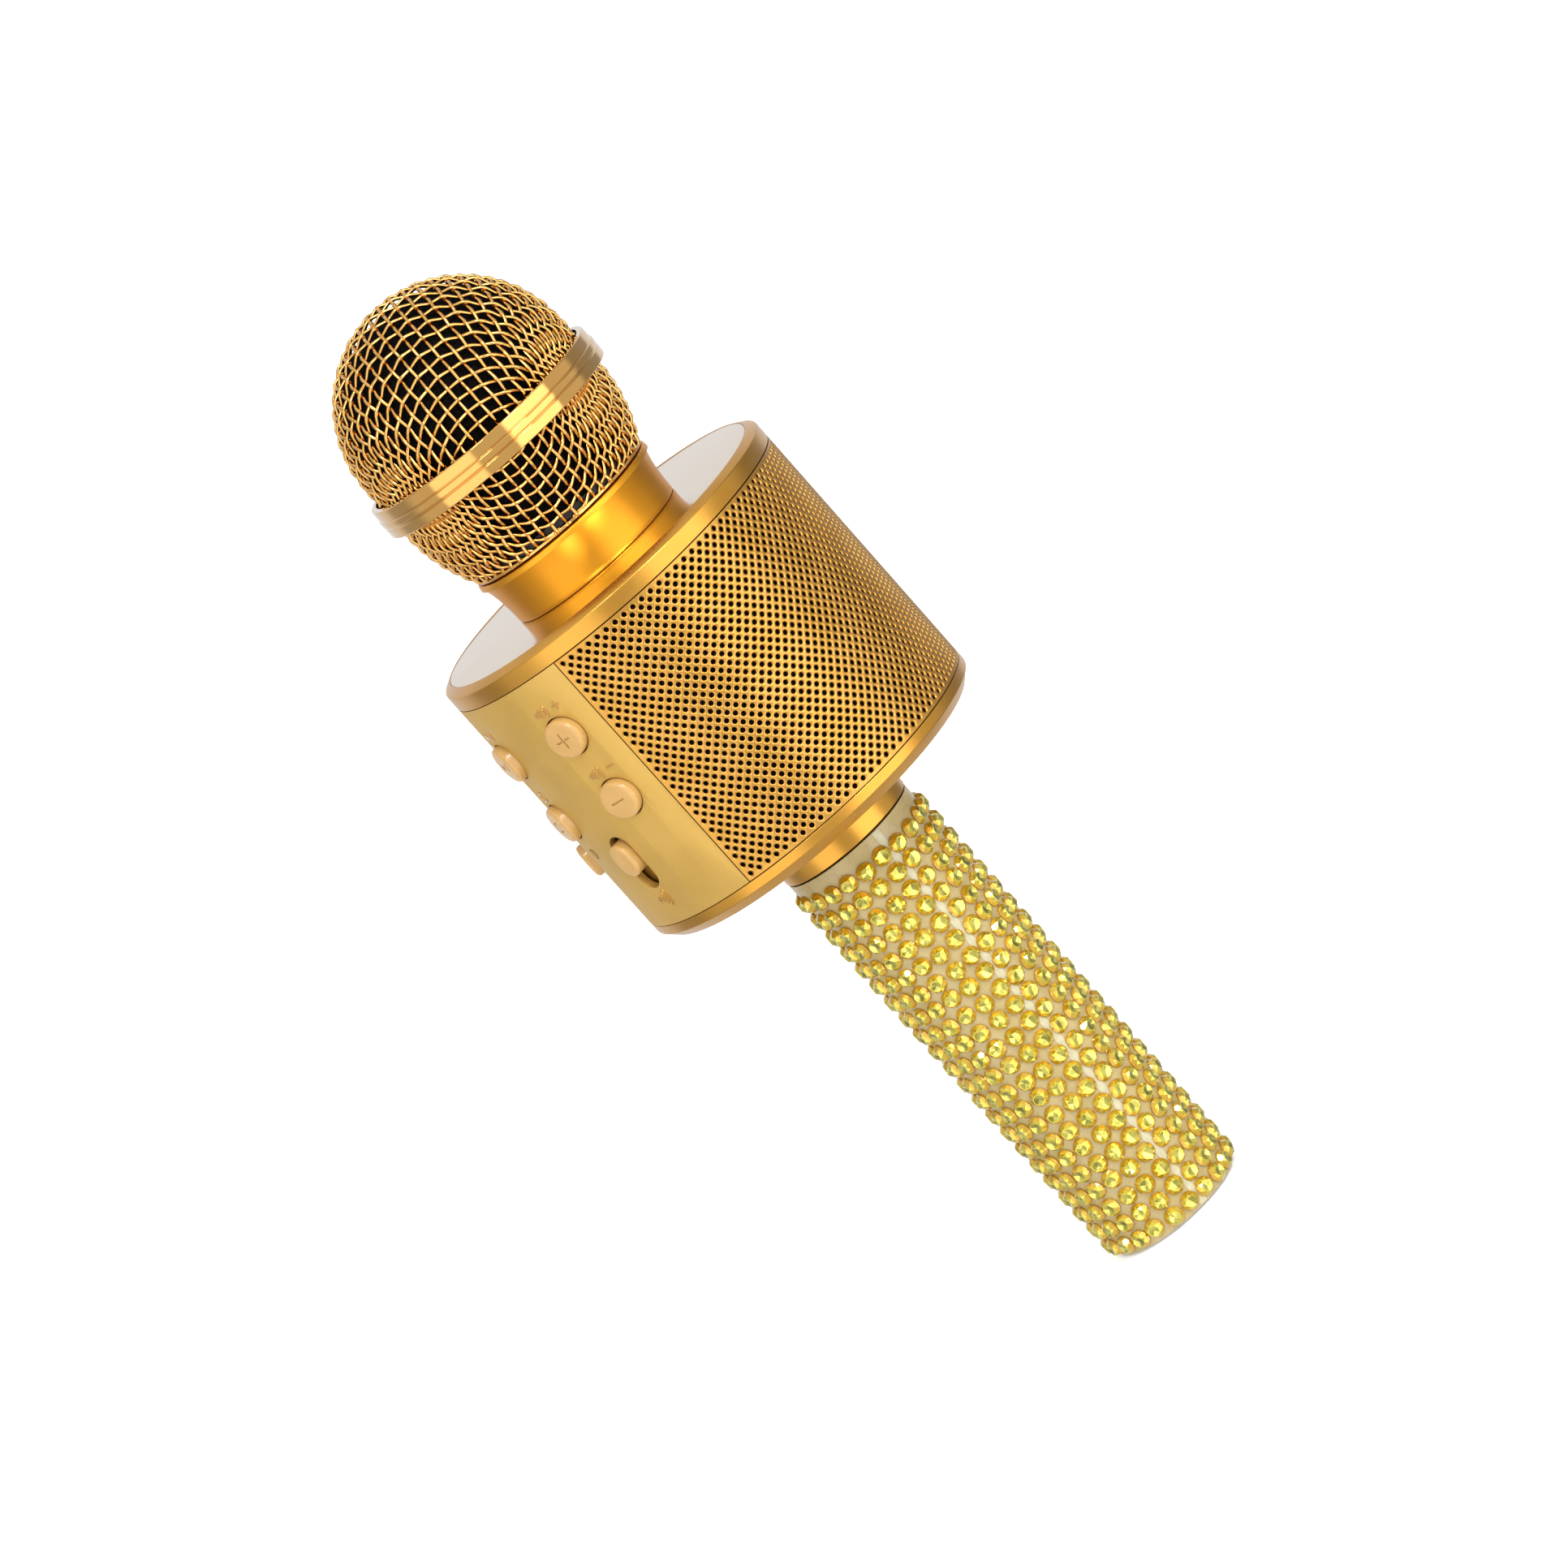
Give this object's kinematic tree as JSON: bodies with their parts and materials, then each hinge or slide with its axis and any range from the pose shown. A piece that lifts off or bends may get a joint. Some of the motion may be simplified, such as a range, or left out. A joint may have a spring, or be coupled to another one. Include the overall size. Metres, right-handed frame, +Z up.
{
  "type": "karaoke microphone",
  "caption": "Handheld karaoke microphone: woven mesh ball head, drum-shaped speaker body with perforated grille and button panel, and a handle covered in small faceted stones.",
  "frame": {"origin": "centre of the handle's flat end", "axes": "+Z up the microphone to the head, the control panel faces -Y"},
  "size_m": [0.08, 0.0817, 0.2388],
  "materials": {
    "plated_case": "gold-plated plastic, satin",
    "speaker_grille": "gold-anodised perforated sheet",
    "mesh": "gold-plated woven steel wire",
    "ring": "gold, polished",
    "collar": "gold, satin",
    "disc": "champagne mirror-plated plastic, polished",
    "panel": "khaki-gold metallic paint, satin",
    "controls": "apricot plastic, semi-gloss",
    "stones": "citrine acrylic stones on a glossy beige film",
    "black_plastic": "black moulded plastic",
    "foam": "black open-cell foam",
    "rubber": "black rubber",
    "lead": "soft red insulation",
    "steel": "nickel-plated steel",
    "ferrite": "dark ferrite",
    "cone": "black pressed paper",
    "board": "green laminate, satin",
    "cell": "blue film over a steel can",
    "lens": "clear lens"
  },
  "bodies": {
    "housing": {"audio_jack": "black_plastic", "battery": "cell", "battery_contact": "steel", "battery_spring": "steel", "battery_tray": "black_plastic", "bottom_cover": "plated_case", "button_board": "board", "capsule_cradle": "rubber", "capsule_lead": "lead", "capsule_post": "black_plastic", "card_slot": "steel", "charge_port": "steel", "control_panel": "panel", "cover_screw_1": "steel", "cover_screw_2": "steel", "cover_screw_3": "steel", "cover_screw_4": "steel", "driver_basket_left": "steel", "driver_basket_right": "steel", "driver_magnet_left": "ferrite", "driver_magnet_right": "ferrite", "end_cap": "plated_case", "grille_collar": "collar", "handle_adapter": "plated_case", "handle_tube": "black_plastic", "indicator_lens": "lens", "main_board": "board", "mic_capsule": "steel", "neck_nut": "steel", "power_lead": "lead", "rhinestone_sleeve": "stones", "slider_track_echo": "black_plastic", "slider_track_voice": "black_plastic", "speaker_chassis": "black_plastic", "speaker_grille": "speaker_grille", "switch_mode": "black_plastic", "switch_next": "black_plastic", "switch_play": "black_plastic", "switch_previous": "black_plastic", "switch_volume_down": "black_plastic", "switch_volume_up": "black_plastic", "top_cover": "plated_case", "top_disc": "disc"},
    "gasket": {"ball_gasket": "rubber"},
    "head": {"grille_dome": "mesh", "grille_lower_cup": "mesh", "grille_ring": "ring", "foam_windscreen": "foam", "ball_thread_neck": "steel"},
    "echo_knob": {"slider_knob_echo": "controls"},
    "voice_knob": {"slider_knob_voice": "controls"},
    "cone_left": {"driver_cone_left": "cone"},
    "cone_right": {"driver_cone_right": "cone"},
    "volume_up_key": {"button_volume_up": "controls"},
    "volume_down_key": {"button_volume_down": "controls"},
    "play_key": {"button_play": "controls"},
    "mode_key": {"button_mode": "controls"},
    "next_key": {"button_next": "controls"},
    "previous_key": {"button_previous": "controls"}
  },
  "joints": [
    {"name": "head_turn", "type": "hinge", "parent": "housing", "child": "gasket", "pos_m": [0, 0, 0.1858], "axis": [0, 0, 1], "range_deg": [0, 1440]},
    {"name": "head_rise", "type": "slide", "parent": "gasket", "child": "head", "axis": [0, 0, 1], "range_m": [0, 0.008]},
    {"name": "volume_up_press", "type": "slide", "parent": "housing", "child": "volume_up_key", "axis": [-0.5592, 0.829, 0], "range_m": [0, 0.0006], "stiffness_N_per_m": 800},
    {"name": "volume_down_press", "type": "slide", "parent": "housing", "child": "volume_down_key", "axis": [-0.5592, 0.829, 0], "range_m": [0, 0.0006], "stiffness_N_per_m": 800},
    {"name": "play_press", "type": "slide", "parent": "housing", "child": "play_key", "axis": [0, 1, 0], "range_m": [0, 0.0006], "stiffness_N_per_m": 800},
    {"name": "mode_press", "type": "slide", "parent": "housing", "child": "mode_key", "axis": [0, 1, 0], "range_m": [0, 0.0006], "stiffness_N_per_m": 800},
    {"name": "next_press", "type": "slide", "parent": "housing", "child": "next_key", "axis": [0.5592, 0.829, 0], "range_m": [0, 0.0006], "stiffness_N_per_m": 800},
    {"name": "previous_press", "type": "slide", "parent": "housing", "child": "previous_key", "axis": [0.5592, 0.829, 0], "range_m": [0, 0.0006], "stiffness_N_per_m": 800},
    {"name": "echo_slide", "type": "slide", "parent": "housing", "child": "echo_knob", "axis": [0, 0, 1], "range_m": [-0.004, 0.001]},
    {"name": "voice_slide", "type": "slide", "parent": "housing", "child": "voice_knob", "axis": [0, 0, 1], "range_m": [-0.004, 0.001]},
    {"name": "cone_left_move", "type": "slide", "parent": "housing", "child": "cone_left", "axis": [-1, 0, 0], "range_m": [-0.0005, 0.0005], "stiffness_N_per_m": 1500},
    {"name": "cone_right_move", "type": "slide", "parent": "housing", "child": "cone_right", "axis": [1, 0, 0], "range_m": [-0.0005, 0.0005], "stiffness_N_per_m": 1500}
  ],
  "couplings": [
    {"joint": "head_turn", "follows": "head_rise", "rad_per_m": 3141.6}
  ]
}
